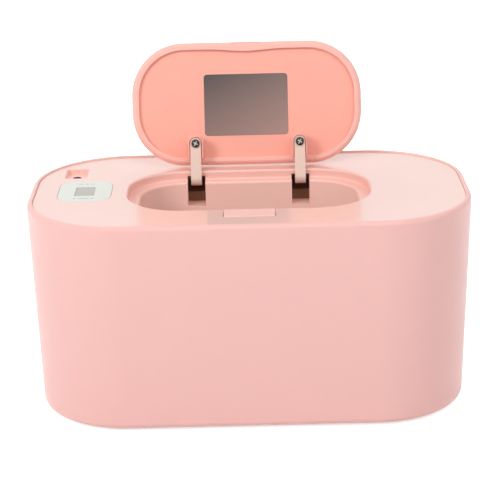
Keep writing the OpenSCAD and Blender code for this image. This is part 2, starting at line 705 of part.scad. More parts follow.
// Thicker stretch of the rim at the catch, a shallow bow inwards
bulge_rise = 1.1;
bulge_span = 36;
module lid_catch_bulge() {
  r = (pow(bulge_span/2, 2) + pow(bulge_rise, 2))/(2*bulge_rise);
  translate([0, lid_front + lid_rim + bulge_rise - r, lid_top - lid_t - 2])
    cylinder(r = r, h = lid_t + 4, $fn = 180);
}

boss_r = arm_w/2 + 0.7;
module lid_liner() color(salmon) lid_open() difference() {
  edge = lid_rim + snug;
  union() {
    difference() {
      translate([0, lid_mid, 0]) loaf(lid_w - 2*edge, lid_d - 2*edge, lid_r - edge,
        [[0, liner_under], [0, lid_top - lid_skin]]);
      translate([0, snug, 0]) lid_catch_bulge();
    }
    for (s = [-1, 1]) difference() {
      translate([s*arm_x, 0, bar_z - arm_t/2 + 0.4])
        pill([0, screw_y], [0, lid_back - edge - boss_r], boss_r, liner_under - bar_z + arm_t/2);
      // Groove that the arm's bar lies in
      translate([s*arm_x, 0, bar_z - arm_t]) pill([0, screw_y], [0, lid_back + 5], arm_w/2 + snug, arm_t*1.5);
    }
    for (s = [-1, 1]) block([s*arm_x - boss_r, screw_y + 3, bar_z + arm_t/2],
                            [s*arm_x + boss_r, lid_back - edge, liner_under + eps]);
  }
  at(arm_screw_spots) pilot(arm_screw, bar_z - arm_t/2);
}

// Gooseneck arm: a flat bar screwed to the lid, bent round and back up to an eye on the pin
module hinge_arm(s) color(cream) lid_open() translate([s*arm_x, 0, 0]) difference() {
  union() {
    translate([0, 0, bar_z - arm_t/2]) pill([0, screw_y], [0, bend_y - arm_w/2], arm_w/2, arm_t);
    translate([-arm_w/2, 0, 0]) rotate([90, 0, 90]) linear_extrude(height = arm_w) {
      translate([bend_y - arm_w/2, bar_z - arm_t/2]) square([arm_w/2, arm_t]);
      translate([bend_y, bar_z + bend_r]) intersection() {
        difference() {
          circle(bend_r + arm_t/2);
          circle(bend_r - arm_t/2);
        }
        translate([0, -20]) square([20, 40]);
      }
      translate([pin_y, pin_z - arm_t/2]) square([bend_y - pin_y, arm_t]);
      translate([pin_y, pin_z]) circle(eye_r);
    }
  }
  translate([-arm_w, pin_y, pin_z]) rotate([0, 90, 0]) cylinder(d = pin_d + 2*running, h = 2*arm_w);
  translate([0, screw_y, 0]) screw_hole(arm_screw, bar_z - arm_t, 2*arm_t);
}
module hinge_arm_left() hinge_arm(-1);
module hinge_arm_right() hinge_arm(1);

module arm_screws() color([0.25, 0.24, 0.24]) lid_open()
  at(arm_screw_spots) screw(arm_screw, bar_z - arm_t/2);

outer_shell();
inner_tub();
base_plate();
base_screws();
rubber_feet();
top_deck();
deck_undertray();
heating_plate();
heating_film();
thermal_fuse();
temperature_sensor();
control_board();
display_module();
display_window();
control_panel();
power_jack();
heater_leads();
power_leads();
hinge_pin_left();
hinge_pin_right();
lid_spring_left();
lid_spring_right();
deck_screws();
board_screws();
latch_retainer();
retainer_screws();
latch_spring();
lid_cover();
lid_liner();
hinge_arm_left();
hinge_arm_right();
arm_screws();
latch_button();
latch_slider();
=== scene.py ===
import math

import bmesh
import bpy
import numpy as np
from mathutils import Matrix, Vector, geometry


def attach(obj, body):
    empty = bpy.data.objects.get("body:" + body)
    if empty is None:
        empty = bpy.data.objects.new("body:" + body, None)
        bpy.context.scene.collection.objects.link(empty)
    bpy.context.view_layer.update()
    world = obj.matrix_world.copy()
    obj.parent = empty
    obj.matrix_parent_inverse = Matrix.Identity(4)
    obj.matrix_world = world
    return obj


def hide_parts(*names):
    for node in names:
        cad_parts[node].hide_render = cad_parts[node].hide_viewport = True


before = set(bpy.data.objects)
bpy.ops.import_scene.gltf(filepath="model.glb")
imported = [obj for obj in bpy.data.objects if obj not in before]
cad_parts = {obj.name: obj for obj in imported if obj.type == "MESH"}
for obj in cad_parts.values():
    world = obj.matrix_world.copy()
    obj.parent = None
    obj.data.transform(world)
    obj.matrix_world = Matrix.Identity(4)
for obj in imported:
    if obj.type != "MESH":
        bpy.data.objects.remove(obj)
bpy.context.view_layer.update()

# Sizes are in millimetres, as the solids are made: the origin is the middle of the footprint, the front looks
# towards -Y, and the lid is closed. piece() turns the lid's pieces open and writes every mesh in metres.
CLEAR = 0.3                                      # gap between pieces that don't touch
TINY = 1e-6                                      # slack in comparing sizes

# Body
BODY_W, BODY_D, PLAN_R = 205.0, 117.3, 45.0      # outline at the top edge, and its corner radius
FOOT_PROUD, BODY_H = 1.2, 98.4                   # height of the shell's bottom edge, and of the shell itself
DRAFT, SHELL_WALL = 2.7, 2.4                     # lean of each side, and wall
LIP_ROUND, BOTTOM_ROUND, LIP_RISE = 2.1, 3.2, 0.8
LIP_IN = 0.1                                     # how far the lip's inner face stands in from the wall
BASE_TOP = FOOT_PROUD + 2.4
SHELL_TOP = FOOT_PROUD + BODY_H

# Deck: heights, then the lid's recess and the throat below it
DECK_Z = SHELL_TOP - LIP_RISE
DECK_UNDER = DECK_Z - 2.3
SEAT_Z = DECK_UNDER - 2.0                        # ledge that the tub's flange hangs on
DECK_EDGE = -SHELL_WALL - 0.2                    # deck's rim, measured from the body's outline
LAND_SIDE, LAND_FRONT, LAND_BACK = 46.1, 26.55, 29.75
LID_GAP, LID_REAR_GAP, LID_R = 0.4, 1.0, 25.7
LEDGE_X, LEDGE_Y, LEDGE_DROP, THROAT_DEPTH = 5.4, 4.2, 4.3, 23.3
RECESS_FRONT, RECESS_BACK = LAND_FRONT - BODY_D/2, BODY_D/2 - LAND_BACK
RECESS_W, RECESS_D, RECESS_R = BODY_W - 2*LAND_SIDE, RECESS_BACK - RECESS_FRONT, LID_R + LID_GAP
RECESS_MID = (0.0, (RECESS_FRONT + RECESS_BACK)/2)
THROAT_W, THROAT_D = RECESS_W - 2*LEDGE_X, RECESS_D - 2*LEDGE_Y
THROAT_R, THROAT_BACK = RECESS_R - (LEDGE_X + LEDGE_Y)/2, RECESS_BACK - LEDGE_Y
LEDGE_Z, THROAT_LOW = DECK_Z - LEDGE_DROP, DECK_Z - THROAT_DEPTH
RECESS_ROUND, LEDGE_FILLET, THROAT_ROUND = 1.1, 0.8, 1.2
RIM_ROUND, SEAT_ROUND, POCKET_ROUND = 0.25, 0.15, 0.5
THROAT_WALL = 1.8

# Lid, closed
LID_W, LID_D = RECESS_W - 2*LID_GAP, RECESS_D - LID_GAP - LID_REAR_GAP
LID_FRONT, LID_BACK = RECESS_FRONT + LID_GAP, RECESS_BACK - LID_REAR_GAP
LID_MID = (0.0, (LID_FRONT + LID_BACK)/2)
LID_TOP, LID_T, LID_RIM, LID_EDGE = DECK_Z - CLEAR, 3.7, 3.6, 0.8
LINER_LOW = LID_TOP - 2.1                        # liner's face, which the open lid shows

# Hinge: a flat bar, half a circle round the recess's edge, and an eye on the pin
PIN_Y, PIN_Z, OPEN = RECESS_BACK + 4.3, DECK_Z - 3.8, math.radians(105)
ARM_X, ARM_W, ARM_T, ARM_DROP = 25.25, 5.2, 1.6, 6.2
BAR_Z, BEND_R, BEND_Y = PIN_Z - ARM_DROP, ARM_DROP/2, PIN_Y + 0.5
SCREW_Y = LID_BACK - 10.8
SWING = math.hypot(BEND_Y - PIN_Y, BEND_R) + BEND_R + ARM_T/2 + 2*CLEAR
SLOT_W, SLOT_LOW, SLOT_ROOF = 8.6, DECK_Z - 16.3, DECK_Z - 1.5
HEAD_R, HEAD_H, HEAD_SEAT = 2.0, 1.15, BAR_Z - ARM_T/2

# Latch: the button's notch, and the cuts that its tongue passes through in the recess's wall and the lid
BUTTON_W, BUTTON_D, BUTTON_T, BUTTON_TRAVEL = 23.2, 11.0, 0.9, 0.8
BUTTON_FRONT = RECESS_FRONT - 0.2 - BUTTON_D
NOTCH_HALF, NOTCH_FRONT, NOTCH_LOW = BUTTON_W/2 + CLEAR, BUTTON_FRONT - CLEAR, DECK_Z - 2.0
TONGUE_W, TONGUE_T, WEDGE = 12.0, 1.0, 1.5
TONGUE_TOP = DECK_Z - BUTTON_T - BUTTON_TRAVEL - CLEAR
CATCH_LOW, CATCH_TOP = TONGUE_TOP - TONGUE_T - CLEAR, TONGUE_TOP + CLEAR
CATCH_HALF, LID_CUT_HALF = TONGUE_W/2 + CLEAR, TONGUE_W/2 + 1
LID_CUT_BACK = LID_FRONT + BUTTON_TRAVEL*WEDGE + 0.4

# Control panel, display window and power pocket
PANEL_X, PANEL_Y, PANEL_W, PANEL_D, PANEL_R = 25.7 - BODY_W/2, 0.2, 25.0, 31.6, 8.0
PANEL_T, PANEL_TOP, PANEL_GAP = 1.0, DECK_Z + 0.06, 0.1
WINDOW_Y, WINDOW_W, WINDOW_D = PANEL_Y - 0.6, 9.2, 13.6
POCKET_X, POCKET_Y, POCKET_W, POCKET_D = 19.3 - BODY_W/2, BODY_D/2 - 29.25, 10.2, 15.1
POCKET_LOW, JACK_D = DECK_Z - 2.0, 4.2


# ------------------------------------------------------- profiles and outlines

def arc(cx, cz, r, a0, a1, n=8):
    """Points of a circle's arc about (cx, cz), in n equal steps from angle a0 to angle a1 in degrees."""
    a = np.radians(np.linspace(a0, a1, n + 1))
    return np.stack([cx + r*np.cos(a), cz + r*np.sin(a)], 1)


def path(*pieces):
    """One profile from points and arcs, without repeated points."""
    p = np.concatenate([np.atleast_2d(np.asarray(q, float)) for q in pieces])
    keep = np.r_[True, np.abs(np.diff(p, axis=0)).sum(1) > TINY]
    return p[keep]


def loop(w, d, r, grow=0.0, mid=(0.0, 0.0), n=24, back=(), front=()):
    """Rounded rectangle of width w and depth d, anticlockwise from its right side. Each corner is a quarter
    circle of n steps about the same centre, at its radius r plus grow, and straights join the corners. back
    and front are the x of more points on the rear and front straights."""
    a = np.radians(np.linspace(0, 90, n + 1))
    c, s = np.cos(a), np.sin(a)
    x, y, q = w/2 - r, d/2 - r, r + grow
    rear = np.array([[v, y + q] for v in sorted(back, reverse=True)]).reshape(-1, 2)
    near = np.array([[v, -y - q] for v in sorted(front)]).reshape(-1, 2)
    p = np.concatenate([np.stack([x + q*c, y + q*s], 1), rear, np.stack([-x - q*s, y + q*c], 1),
                        np.stack([-x - q*c, -y - q*s], 1), near, np.stack([x + q*s, -y - q*c], 1)])
    return p + np.array(mid)


def steps(n, *cuts, reach=29.0):
    """The x of n points spread evenly along a straight, and of the two edges of each cut about its middle."""
    x = np.r_[np.linspace(-reach, reach, n), cuts, [-c for c in cuts]]
    return sorted(set(np.round(x, 6)))


def inside(q, ring):
    """Whether points lie in a closed outline: a ray towards +X crosses its edges an odd number of times."""
    a, b = ring, np.roll(ring, -1, 0)
    x, y = q[:, :1], q[:, 1:2]
    cross = (a[:, 1] > y) != (b[:, 1] > y)
    with np.errstate(divide="ignore", invalid="ignore"):
        at = a[:, 0] + (y - a[:, 1])*(b[:, 0] - a[:, 0])/(b[:, 1] - a[:, 1])
    return (cross & (x < at)).sum(1) % 2 == 1


def about_pins(v, angle):
    """Points turned about the hinge pins: (y, z) from the pins turned by the angle, x as it was."""
    c, s = math.cos(angle), math.sin(angle)
    y, z = v[:, 1] - PIN_Y, v[:, 2] - PIN_Z
    return np.column_stack([v[:, 0], PIN_Y + c*y - s*z, PIN_Z + s*y + c*z])


# -------------------------------------------------------------------- surfaces
# A surface is a list of parts, each an array of points and a list or array of faces.

def raise_to(p, z):
    """Outline in the plane put at height z."""
    return np.column_stack([p, np.full(len(p), float(z))])


def grid_faces(m, k, turns):
    """Quads of a grid of m rows by k points, whose columns close on themselves if it turns."""
    i, j = np.meshgrid(np.arange(m - 1), np.arange(k if turns else k - 1), indexing="ij")
    a, b = i*k + j, i*k + (j + 1) % k
    return np.stack([a, b, b + k, a + k], -1).reshape(-1, 4)


def band(rows):
    """Faces between closed rows of points, row after row. They look outwards where the rows run upwards."""
    return np.concatenate(rows), grid_faces(len(rows), len(rows[0]), True)


def strip(rows):
    """Faces between open rows of points."""
    return np.concatenate(rows), grid_faces(len(rows), len(rows[0]), False)


def flipped(part):
    """The same part with its faces looking the other way."""
    v, f = part
    return v, (f[:, ::-1] if isinstance(f, np.ndarray) else [q[::-1] for q in f])


def sweep(profile, outline):
    """Profile of (offset, height) carried round an outline, which is a function of the offset."""
    return band([raise_to(outline(g), z) for g, z in profile])


def fill(points):
    """One face that fills a closed row of points."""
    return points, [np.arange(len(points))]


def cap(p, z, up=True):
    """Flat face that fills a closed outline at height z."""
    part = fill(raise_to(p, z))
    return part if up else flipped(part)


def flat(outer, holes, z):
    """Flat face at height z between an outline and the outlines of its holes, as triangles that look up: the
    outlines' Delaunay triangles, kept where their middles lie inside the outer one and outside the holes."""
    rings = [outer] + list(holes)
    starts = np.cumsum([0] + [len(r) for r in rings])
    edges = [(int(s + i), int(s + (i + 1) % len(r))) for s, r in zip(starts, rings) for i in range(len(r))]
    v, _, f, *_ = geometry.delaunay_2d_cdt([Vector(p) for p in np.concatenate(rings)], edges, [], 1, 1e-7)
    v, f = np.array([tuple(p) for p in v]), np.array([t for t in f if len(t) == 3])
    mid = v[f].mean(1)
    keep = inside(mid, outer)
    for hole in holes:
        keep &= ~inside(mid, hole)
    f = f[keep]
    a, b, c = v[f[:, 0]], v[f[:, 1]], v[f[:, 2]]
    turn = (b[:, 0] - a[:, 0])*(c[:, 1] - a[:, 1]) - (b[:, 1] - a[:, 1])*(c[:, 0] - a[:, 0])
    f[turn < 0] = f[turn < 0][:, ::-1]
    return raise_to(v, z), f


def hollow(side, x0, x1, last):
    """Hollow cut along X from x0 to x1: walls follow the side outline in (y, z) from its first point to point
    number last and are open past it, and the whole outline closes both ends. All faces look into the hollow,
    whichever way round the outline runs."""
    y, z = side.T
    clockwise = (y*np.roll(z, -1) - z*np.roll(y, -1)).sum() < 0
    left, right = (np.column_stack([np.full(len(side), x), side]) for x in (x0, x1))
    parts = [strip([left[:last + 1], right[:last + 1]]), flipped(fill(left)), fill(right)]
    return parts if clockwise else [flipped(p) for p in parts]


# --------------------------------------------------------------- mesh objects

WELD = 2e-6                                      # reach in metres within which points of two surfaces join


def piece(name, parts, materials, body, replaces=(), lid=False, sharp=32, which=None):
    """One mesh object from the parts of a surface, smooth except at edges sharper than the given degrees. It
    rides on a body and stands for the solids that it replaces. Where it has
    several materials, which gives each face's number among them from the faces' middles."""
    verts, faces, at = [], [], 0
    for v, f in parts:
        verts.append(v)
        faces += [[int(i) + at for i in q] for q in f]
        at += len(v)
    v = np.concatenate(verts)
    mesh = bpy.data.meshes.new(name)
    mesh.from_pydata(((about_pins(v, -OPEN) if lid else v)*0.001).tolist(), [], faces)
    obj = bpy.data.objects.new(name, mesh)
    bpy.context.scene.collection.objects.link(obj)
    join_points(mesh)
    mesh.polygons.foreach_set("use_smooth", np.ones(len(mesh.polygons), bool))
    mesh.set_sharp_from_angle(angle=math.radians(sharp))
    for material in materials:
        mesh.materials.append(material)
    if which:
        mid = np.empty(len(mesh.polygons)*3)
        mesh.polygons.foreach_get("center", mid)
        mesh.polygons.foreach_set("material_index", which(mid.reshape(-1, 3)*1000).astype(np.int32))
    weigh = obj.modifiers.new("flat faces stay flat", "WEIGHTED_NORMAL")
    weigh.keep_sharp = True
    weigh.weight = 80
    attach(obj, body)
    if replaces:
        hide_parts(*replaces)


def join_points(mesh):
    """Merges points that lie on each other, where two parts of a surface meet."""
    b = bmesh.new()
    b.from_mesh(mesh)
    bmesh.ops.remove_doubles(b, verts=b.verts, dist=WELD)
    b.to_mesh(mesh)
    b.free()


# ------------------------------------------------------------------- materials

def srgb(r, g, b):
    """Linear colour of a screen colour given from 0 to 255."""
    c = np.array((r, g, b))/255
    return *np.where(c <= 0.04045, c/12.92, ((c + 0.055)/1.055)**2.4).tolist(), 1.0


def node(tree, kind, at, **values):
    """New shader node with its sockets and settings given by name."""
    n = tree.nodes.new(kind)
    n.location = at
    for key, value in values.items():
        if key in n.inputs:
            n.inputs[key].default_value = value
        else:
            setattr(n, key, value)
    return n


def spread(tree, value, at, given, wanted):
    """Map Range node that spreads a value from the given range over the wanted one."""
    n = node(tree, "ShaderNodeMapRange", at)
    for key, number in zip(("From Min", "From Max", "To Min", "To Max"), (*given, *wanted)):
        n.inputs[key].default_value = number
    tree.links.new(value, n.inputs["Value"])
    return n.outputs["Result"]


def noise(tree, place, at, scale, detail, fade):
    """Noise of the place on the object, from 0 to 1 and mostly between 0.3 and 0.7."""
    n = node(tree, "ShaderNodeTexNoise", at, Scale=scale, Detail=detail, Roughness=fade)
    tree.links.new(place.outputs["Object"], n.inputs["Vector"])
    return n.outputs["Fac"]


def bump(tree, height, at, distance, normal=None):
    """Bump of a height, up to the distance in millimetres, on top of another normal if one is given."""
    n = node(tree, "ShaderNodeBump", at, Strength=1.0, Distance=distance*0.001)
    tree.links.new(height, n.inputs["Height"])
    if normal:
        tree.links.new(normal, n.inputs["Normal"])
    return n.outputs["Normal"]


MIDDLE = (0.3, 0.7)                              # range that most of a noise lies in
TONES, WEAR, SWELLS = 38.0, 120.0, 55.0          # patches of colour, of gloss, and swells, to a metre
GLOSS_DRIFT = 0.05                               # how far the roughness drifts either way
SCATTER_REACH = 0.004                            # how far red light spreads below the surface, in metres
SCATTER_SHARES = (1.0, 0.45, 0.3)                # reach of red, green and blue as shares of that


def moulded(name, colour, rough, vary, grain, grain_size, swell=0.0, scatter=0.0, coat=0.0, coat_rough=0.12,
            ior=1.5, metallic=0.0):
    """Moulded or drawn surface. Noise in wide patches shifts the colour's value by the share vary, noise in
    smaller ones shifts the roughness, and a grain of the given depth and size, on swells of the given depth,
    bumps the surface. Grain and swells are in millimetres."""
    m = bpy.data.materials.new(name)
    m.use_nodes = True
    t = m.node_tree
    s = t.nodes["Principled BSDF"]
    place = node(t, "ShaderNodeTexCoord", (-1300, 0))
    value = spread(t, noise(t, place, (-1050, 250), TONES, 3.0, 0.55), (-850, 250), MIDDLE,
                   (1 - vary, 1 + vary))
    tone = node(t, "ShaderNodeHueSaturation", (-400, 250), Color=srgb(*colour))
    t.links.new(value, tone.inputs["Value"])
    t.links.new(tone.outputs["Color"], s.inputs["Base Color"])
    gloss = spread(t, noise(t, place, (-1050, 0), WEAR, 4.0, 0.6), (-850, 0), MIDDLE,
                   (rough - GLOSS_DRIFT, rough + GLOSS_DRIFT))
    t.links.new(gloss, s.inputs["Roughness"])
    normal = bump(t, noise(t, place, (-1050, -250), 1000.0/grain_size, 2.0, 0.5), (-500, -250), grain)
    if swell:
        normal = bump(t, noise(t, place, (-1050, -500), SWELLS, 1.0, 0.4), (-250, -350), swell, normal)
    t.links.new(normal, s.inputs["Normal"])
    s.inputs["IOR"].default_value = ior
    s.inputs["Metallic"].default_value = metallic
    if scatter:
        s.inputs["Subsurface Weight"].default_value = scatter
        s.inputs["Subsurface Radius"].default_value = SCATTER_SHARES
        s.inputs["Subsurface Scale"].default_value = SCATTER_REACH
    if coat:
        s.inputs["Coat Weight"].default_value = coat
        s.inputs["Coat Roughness"].default_value = coat_rough
    return m


def painted_reflection_plate(name, dark, light, lean, ends):
    """Satin grey that goes from dark to light along the lean, as a painted reflection. The place's dot
    product with the lean counts from the first end to the second."""
    m = moulded(name, light, rough=0.38, vary=0.02, grain=0.0015, grain_size=1.5)
    t = m.node_tree
    tone = t.nodes["Principled BSDF"].inputs["Base Color"].links[0].from_node
    place = node(t, "ShaderNodeTexCoord", (-1300, 800))
    along = node(t, "ShaderNodeVectorMath", (-1100, 800), operation="DOT_PRODUCT")
    along.inputs[1].default_value = lean
    t.links.new(place.outputs["Object"], along.inputs[0])
    mix = node(t, "ShaderNodeMix", (-650, 800), data_type="RGBA")
    share, first, second = mix.inputs[0], mix.inputs[6], mix.inputs[7]
    first.default_value, second.default_value = srgb(*dark), srgb(*light)
    t.links.new(spread(t, along.outputs["Value"], (-900, 800), ends, (0.0, 1.0)), share)
    t.links.new(mix.outputs[2], tone.inputs["Color"])
    return m


SHELL_PINK = moulded("shell pink", (240, 188, 182), rough=0.36, vary=0.006, grain=0.0012, grain_size=0.8,
                     swell=0.01, scatter=0.1)
# paler copy of the shell's pink for the lip's inner face: painted light
LIP_PAINTED_LIGHT = moulded("lip pink painted light", (250, 212, 203), rough=0.36, vary=0.006, grain=0.0012, grain_size=0.8,
                   swell=0.01)
DECK_PINK = moulded("deck pink", (239, 198, 187), rough=0.36, vary=0.006, grain=0.0006, grain_size=2.5,
                    swell=0.004, coat=1.0, coat_rough=0.1, ior=1.55)
WELL_PINK = moulded("well pink", (245, 195, 183), rough=0.4, vary=0.006, grain=0.001, grain_size=1.5,
                    swell=0.004, coat=0.3, coat_rough=0.2)
# lighter copy of the well's pink for the throat: painted light where little light reaches
THROAT_PAINTED_LIGHT = moulded("throat pink painted light", (255, 206, 194), rough=0.38, vary=0.006, grain=0.001, grain_size=1.5,
                      swell=0.004)
BUTTON_PINK = moulded("button pink", (252, 203, 191), rough=0.38, vary=0.006, grain=0.0006, grain_size=2.5,
                      swell=0.004, coat=0.3)
# dark brown painted shade for the hinge pockets' backs, where little light reaches
POCKET_PAINTED_SHADE = moulded("pocket painted shade", (122, 92, 68), rough=0.6, vary=0.06, grain=0.01, grain_size=0.4)
# deck-like pink warmed by painted bounce light from the liner
LID_PAINTED_WARM = moulded("lid pink painted warm", (250, 190, 178), rough=0.38, vary=0.01, grain=0.003, grain_size=1.0,
                     swell=0.02, scatter=0.2)
LINER_SALMON = moulded("liner salmon", (255, 178, 161), rough=0.42, vary=0.012, grain=0.004, grain_size=1.2,
                       swell=0.02, scatter=0.2)
ARM_CREAM = moulded("arm cream", (240, 212, 198), rough=0.34, vary=0.015, grain=0.003, grain_size=0.8)
PANEL_PALE = moulded("panel pale", (219, 222, 215), rough=0.2, vary=0.01, grain=0.001, grain_size=2.0)
WINDOW_GREY = moulded("window grey", (170, 167, 161), rough=0.16, vary=0.03, grain=0.001, grain_size=2.0,
                      coat=0.3)
PRINT_GREY = moulded("print grey", (120, 126, 124), rough=0.34, vary=0.02, grain=0.001, grain_size=0.8)
# grey plate whose dark-to-light gradient is a painted reflection
PLATE_PAINTED_REFLECTION = painted_reflection_plate("plate grey painted reflection", dark=(76, 69, 68), light=(168, 137, 129), lean=(14.0, 0.0, -30.0),
                         ends=(-4.56, -3.13))
TUB_WHITE = moulded("tub white", (238, 238, 234), rough=0.4, vary=0.01, grain=0.004, grain_size=0.8,
                    swell=0.02, scatter=0.1)
BASE_PINK = moulded("base pink", (236, 188, 182), rough=0.55, vary=0.015, grain=0.02, grain_size=0.5)
FOOT_RUBBER = moulded("foot rubber", (96, 92, 92), rough=0.75, vary=0.05, grain=0.02, grain_size=0.3)
BLACK_PART = moulded("black part", (38, 38, 40), rough=0.4, vary=0.05, grain=0.006, grain_size=0.4)
BOARD_GREEN = moulded("board green", (34, 96, 66), rough=0.35, vary=0.06, grain=0.01, grain_size=0.8,
                      coat=0.3)
FILM_AMBER = moulded("film amber", (198, 132, 56), rough=0.34, vary=0.05, grain=0.003, grain_size=0.8,
                     coat=0.3)
LEAD_WHITE = moulded("lead white", (230, 230, 224), rough=0.45, vary=0.02, grain=0.004, grain_size=0.4)
LEAD_RED = moulded("lead red", (190, 44, 40), rough=0.45, vary=0.03, grain=0.004, grain_size=0.4)
SCREW_BLACK = moulded("screw black", (34, 31, 31), rough=0.34, vary=0.08, grain=0.003, grain_size=0.3)
SCREW_BRIGHT = moulded("screw bright", (205, 198, 190), rough=0.2, vary=0.03, grain=0.003, grain_size=0.3,
                       metallic=1.0)
DRAWN_STEEL = moulded("drawn steel", (196, 197, 200), rough=0.2, vary=0.03, grain=0.004, grain_size=0.15,
                      metallic=1.0)
HINGE_STEEL = moulded("blackened steel", (104, 92, 86), rough=0.34, vary=0.05, grain=0.004, grain_size=0.15,
                      metallic=1.0)
ZINC = moulded("zinc screw", (186, 188, 192), rough=0.34, vary=0.05, grain=0.006, grain_size=0.2,
               metallic=1.0)
ALUMINIUM = moulded("rolled aluminium", (208, 209, 212), rough=0.34, vary=0.03, grain=0.008, grain_size=0.3,
                    metallic=1.0)

SOLID_FINISHES = (
    (SHELL_PINK, "outer_shell"), (DECK_PINK, "top_deck"), (BUTTON_PINK, "latch_button"),
    (LID_PAINTED_WARM, "lid_cover"), (LINER_SALMON, "lid_liner"), (BASE_PINK, "base_plate"),
    (ARM_CREAM, "hinge_arm_left", "hinge_arm_right", "latch_slider", "latch_retainer"),
    (PANEL_PALE, "control_panel"), (WINDOW_GREY, "display_window"), (FOOT_RUBBER, "rubber_feet"),
    (BLACK_PART, "temperature_sensor", "display_module", "power_jack"),
    (TUB_WHITE, "inner_tub", "deck_undertray"),
    (BOARD_GREEN, "control_board"), (FILM_AMBER, "heating_film"), (ALUMINIUM, "heating_plate"),
    (LEAD_WHITE, "thermal_fuse", "heater_leads"), (LEAD_RED, "power_leads"), (DRAWN_STEEL, "latch_spring"),
    (HINGE_STEEL, "hinge_pin_left", "hinge_pin_right", "lid_spring_left", "lid_spring_right"),
    (ZINC, "base_screws", "deck_screws", "board_screws", "retainer_screws"), (SCREW_BLACK, "arm_screws"))


def finish_solid(name, material):
    """Gives a solid its material, joined points, and smooth shading between its sharp corners."""
    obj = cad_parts[name]
    obj.data.materials.clear()
    obj.data.materials.append(material)
    obj.data.polygons.foreach_set("use_smooth", np.ones(len(obj.data.polygons), bool))
    weld = obj.modifiers.new("joined points", "WELD")
    weld.merge_threshold = 1e-5
    split = obj.modifiers.new("sharp corners", "EDGE_SPLIT")
    split.split_angle = math.radians(28)
    split.use_edge_sharp = False


for finish, *names in SOLID_FINISHES:
    for name in names:
        finish_solid(name, finish)


# ----------------------------------------------------------------------- shell

def body_outline(g):
    """Body's outline from above, moved outwards by g."""
    return loop(BODY_W, BODY_D, PLAN_R, g, n=64)


def shell_surface():
    """Closed section carried round the body's outline: bottom edge rounded by a quarter circle, a straight
    side that leans in by the draft, the lip's quarter circle, its inner face, the ledge for the tub, the
    inner wall, and the ring that the base plate is screwed to."""
    low, top = FOOT_PROUD, SHELL_TOP
    mouth, ring, ring_top = -8.1, -10.3, BASE_TOP + 2
    ledge, ledge_low, gusset = -SHELL_WALL - 3.2, SEAT_Z - 2, SEAT_Z - 6.1
    nose = 0.2
    side = [(-DRAFT*(1 - t), low + BOTTOM_ROUND + t*(top - LIP_ROUND - BOTTOM_ROUND - low))
            for t in np.linspace(0.1, 0.95, 12)]
    lip = [(-SHELL_WALL - LIP_IN, DECK_UNDER), (-SHELL_WALL, DECK_UNDER - 0.3), (-SHELL_WALL, SEAT_Z + 0.1)]
    profile = path(
        (mouth, BASE_TOP), arc(mouth + nose, low + nose, nose, 180, 270, 3),
        arc(-DRAFT - BOTTOM_ROUND, low + BOTTOM_ROUND, BOTTOM_ROUND, 270, 360, 12), side,
        arc(-LIP_ROUND, top - LIP_ROUND, LIP_ROUND, 0, 84, 14),
        arc(-SHELL_WALL + LIP_IN, top - nose, nose, 84, 180, 5), lip,
        (ledge, SEAT_Z), (ledge, ledge_low), (-SHELL_WALL - nose, gusset),
        (-DRAFT - SHELL_WALL, ring_top), (ring, ring_top), (ring, BASE_TOP), (mouth, BASE_TOP))
    return [sweep(profile, body_outline)]


def lip_painted_light_mask(m):
    """1 on the lip's inner face, which gets a paler pink as painted light, 0 elsewhere."""
    return inside(m, body_outline(-SHELL_WALL)) & (m[:, 2] > DECK_UNDER)


piece("body_shell", shell_surface(), [SHELL_PINK, LIP_PAINTED_LIGHT], "case", ["outer_shell"],
      sharp=40, which=lip_painted_light_mask)


# ------------------------------------------------------------------------ deck

REAR_X = steps(30, ARM_X - SLOT_W/2, ARM_X + SLOT_W/2)
FRONT_X = steps(30, NOTCH_HALF, CATCH_HALF)


def recess_outline(g):
    """Lid recess's outline from above, moved outwards by g, with points at the edges of the cuts."""
    return loop(RECESS_W, RECESS_D, RECESS_R, g, RECESS_MID, 40, REAR_X, FRONT_X)


def throat_outline(g):
    """Throat's outline from above, moved outwards by g, with as many points as the recess's."""
    return loop(THROAT_W, THROAT_D, THROAT_R, g, RECESS_MID, 40, REAR_X, FRONT_X)


def panel_outline(g):
    """Control panel's outline moved outwards by g."""
    return loop(PANEL_W, PANEL_D, PANEL_R, g, (PANEL_X, PANEL_Y), 20)


def pocket_outline(g):
    """Power pocket's outline moved outwards by g."""
    return loop(POCKET_W, POCKET_D, 1.2, g, (POCKET_X, POCKET_Y), 10)


def jack_outline(g):
    """Round hole for the power jack, moved outwards by g."""
    return loop(JACK_D, JACK_D, JACK_D/2 - TINY, g, (POCKET_X, POCKET_Y), 16)


def recess_profile():
    """Recess's wall from the deck down to the ledge: a rounded edge, an upright wall with a point at the edge
    of each cut, and a fillet into the ledge."""
    return path(arc(RECESS_ROUND, DECK_Z - RECESS_ROUND, RECESS_ROUND, 90, 180, 10),
                (0, CATCH_TOP), (0, NOTCH_LOW), (0, DECK_UNDER), (0, CATCH_LOW),
                arc(-LEDGE_FILLET, LEDGE_Z + LEDGE_FILLET, LEDGE_FILLET, 0, -90, 7))


def ledge_profile():
    """From the ledge down to the slots' floor: a rounded edge and the throat's upright wall."""
    return path(arc(THROAT_ROUND, LEDGE_Z - THROAT_ROUND, THROAT_ROUND, 90, 180, 9), (0, SLOT_LOW))


